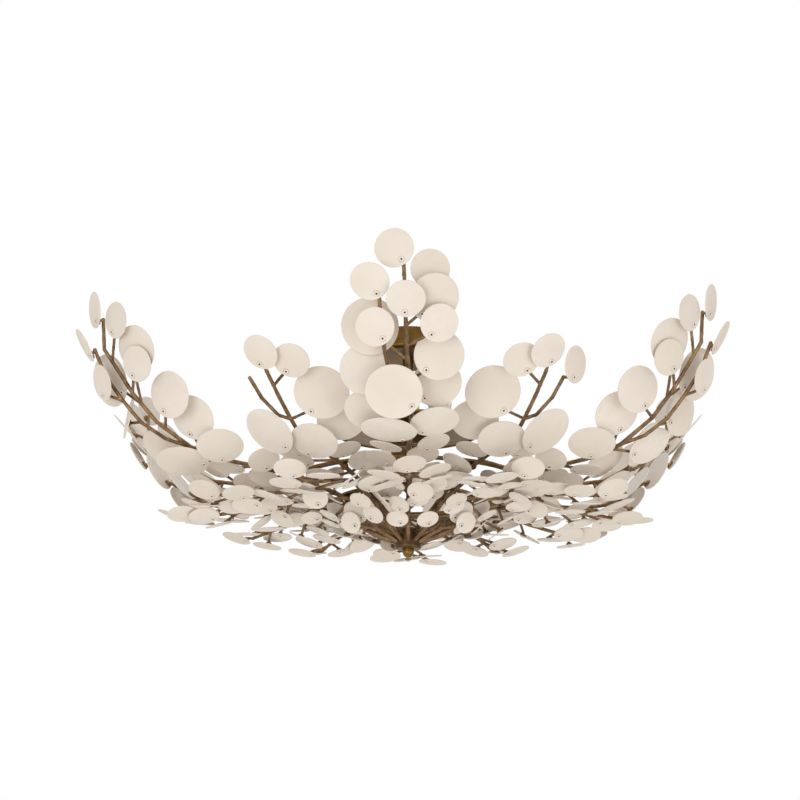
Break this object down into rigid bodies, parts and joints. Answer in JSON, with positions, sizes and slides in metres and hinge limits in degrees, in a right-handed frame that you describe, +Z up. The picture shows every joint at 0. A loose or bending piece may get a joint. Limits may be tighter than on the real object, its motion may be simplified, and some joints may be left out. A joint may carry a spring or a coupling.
{
  "type": "flush mount ceiling light",
  "caption": "Ceiling light built as an open bowl of bronze branches carrying round ivory discs, with lamps on a tray under a round canopy.",
  "frame": {"origin": "centre of the ceiling plane, midway between the two bracket slots on the top face of the mounting bracket", "axes": "+Z up into the ceiling, X along the line of the bracket slots, -Y towards the room side shown in the picture"},
  "size_m": [0.9775, 1.101, 0.358],
  "materials": {
    "antique_brass": "satin",
    "dark_bronze": "satin",
    "brown_bronze": "brushed",
    "ivory_enamel": "matte",
    "zinc_steel": "satin",
    "green_screw": "satin",
    "lead_insulation": "matte",
    "connector_plastic": "matte",
    "porcelain": "glazed",
    "frosted_glass": "frosted"
  },
  "bodies": {
    "fixture": {"canopy_studs": "zinc_steel", "ceiling_canopy": "antique_brass", "column": "dark_bronze", "column_nut": "dark_bronze", "disc_screws": "dark_bronze", "finial": "antique_brass", "ground_screw": "green_screw", "hanging_tube": "antique_brass", "hub": "dark_bronze", "lamp_sockets": "porcelain", "lamp_tray": "antique_brass", "low_half_1_discs": "ivory_enamel", "low_half_2_discs": "ivory_enamel", "low_pair_1_stems": "brown_bronze", "low_pair_2_stems": "brown_bronze", "low_pair_3_stems": "brown_bronze", "low_pair_4_stems": "brown_bronze", "low_pair_5_stems": "brown_bronze", "low_pair_6_stems": "brown_bronze", "lower_hoop": "antique_brass", "mid_1_stems": "brown_bronze", "mid_2_stems": "brown_bronze", "mid_3_stems": "brown_bronze", "mid_4_stems": "brown_bronze", "mid_5_stems": "brown_bronze", "mid_6_stems": "brown_bronze", "mid_pair_1_discs": "ivory_enamel", "mid_pair_2_discs": "ivory_enamel", "mid_pair_3_discs": "ivory_enamel", "mounting_bracket": "zinc_steel", "rod_coupler": "antique_brass", "socket_leads": "lead_insulation", "stud_lock_nuts": "zinc_steel", "supply_leads": "lead_insulation", "tall_1_discs": "ivory_enamel", "tall_1_stems": "brown_bronze", "tall_2_discs": "ivory_enamel", "tall_2_stems": "brown_bronze", "tall_3_discs": "ivory_enamel", "tall_3_stems": "brown_bronze", "tall_4_discs": "ivory_enamel", "tall_4_stems": "brown_bronze", "tall_5_discs": "ivory_enamel", "tall_5_stems": "brown_bronze", "tall_6_discs": "ivory_enamel", "tall_6_stems": "brown_bronze", "tie_rod": "dark_bronze", "tube_nuts": "antique_brass", "tube_sleeve": "antique_brass", "upper_hoop": "antique_brass", "wire_nuts": "connector_plastic"},
    "bulb_1": {"bulb_1": "frosted_glass"},
    "bulb_2": {"bulb_2": "frosted_glass"},
    "bulb_3": {"bulb_3": "frosted_glass"},
    "bulb_4": {"bulb_4": "frosted_glass"},
    "bulb_5": {"bulb_5": "frosted_glass"},
    "bulb_6": {"bulb_6": "frosted_glass"},
    "canopy_cap_nut_1": {"canopy_cap_nut_1": "antique_brass"},
    "canopy_cap_nut_2": {"canopy_cap_nut_2": "antique_brass"}
  },
  "joints": [
    {"name": "bulb_1_thread", "type": "hinge", "parent": "fixture", "child": "bulb_1", "pos_m": [0.05196, 0.03, -0.14], "axis": [0, 0, 1], "range_deg": [0, 1080]},
    {"name": "bulb_2_thread", "type": "hinge", "parent": "fixture", "child": "bulb_2", "pos_m": [0, 0.06, -0.14], "axis": [0, 0, 1], "range_deg": [0, 1080]},
    {"name": "bulb_3_thread", "type": "hinge", "parent": "fixture", "child": "bulb_3", "pos_m": [-0.05196, 0.03, -0.14], "axis": [0, 0, 1], "range_deg": [0, 1080]},
    {"name": "bulb_4_thread", "type": "hinge", "parent": "fixture", "child": "bulb_4", "pos_m": [-0.05196, -0.03, -0.14], "axis": [0, 0, 1], "range_deg": [0, 1080]},
    {"name": "bulb_5_thread", "type": "hinge", "parent": "fixture", "child": "bulb_5", "pos_m": [0, -0.06, -0.14], "axis": [0, 0, 1], "range_deg": [0, 1080]},
    {"name": "bulb_6_thread", "type": "hinge", "parent": "fixture", "child": "bulb_6", "pos_m": [0.05196, -0.03, -0.14], "axis": [0, 0, 1], "range_deg": [0, 1080]},
    {"name": "cap_nut_1_thread", "type": "hinge", "parent": "fixture", "child": "canopy_cap_nut_1", "pos_m": [-0.056, 0, -0.038], "axis": [0, 0, -1], "range_deg": [0, 1440]},
    {"name": "cap_nut_2_thread", "type": "hinge", "parent": "fixture", "child": "canopy_cap_nut_2", "pos_m": [0.056, 0, -0.038], "axis": [0, 0, -1], "range_deg": [0, 1440]}
  ]
}
